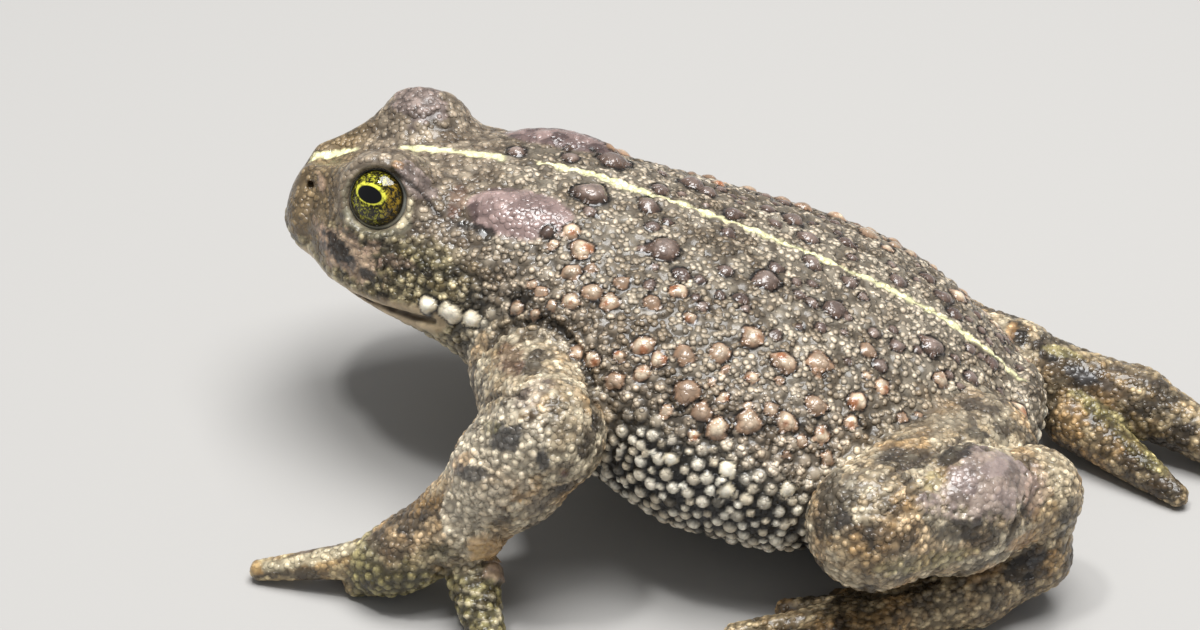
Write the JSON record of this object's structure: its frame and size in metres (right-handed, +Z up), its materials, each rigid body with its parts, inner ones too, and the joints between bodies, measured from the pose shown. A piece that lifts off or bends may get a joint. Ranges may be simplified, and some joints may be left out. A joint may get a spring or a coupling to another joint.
{
  "type": "natterjack toad",
  "caption": "Life-size natterjack toad at rest, raised on its forelegs, with warty skin, a pale back stripe and one hind foot stretched behind.",
  "frame": {"origin": "on the floor, under the centre of the toad's outline box", "axes": "-X is where the toad faces, -Y is its left side, +Z is up"},
  "size_m": [0.0934, 0.0595, 0.0279],
  "materials": {
    "back_skin": "moist warty skin, olive brown",
    "limb_skin": "granular skin, tan with dark blotches",
    "palm_skin": "granular skin, olive with pale spots",
    "eye": "wet golden green eye with a dark level pupil"
  },
  "bodies": {
    "root": {"head": "back_skin", "torso": "back_skin", "eye_left": "eye", "eye_right": "eye", "upper_arm_left": "limb_skin", "forearm_left": "limb_skin", "hand_left": "palm_skin", "thigh_left": "limb_skin", "shank_left": "limb_skin", "foot_left": "palm_skin", "upper_arm_right": "limb_skin", "forearm_right": "limb_skin", "hand_right": "palm_skin", "thigh_right": "limb_skin", "shank_right": "limb_skin", "foot_right": "palm_skin"}
  },
  "joints": []
}
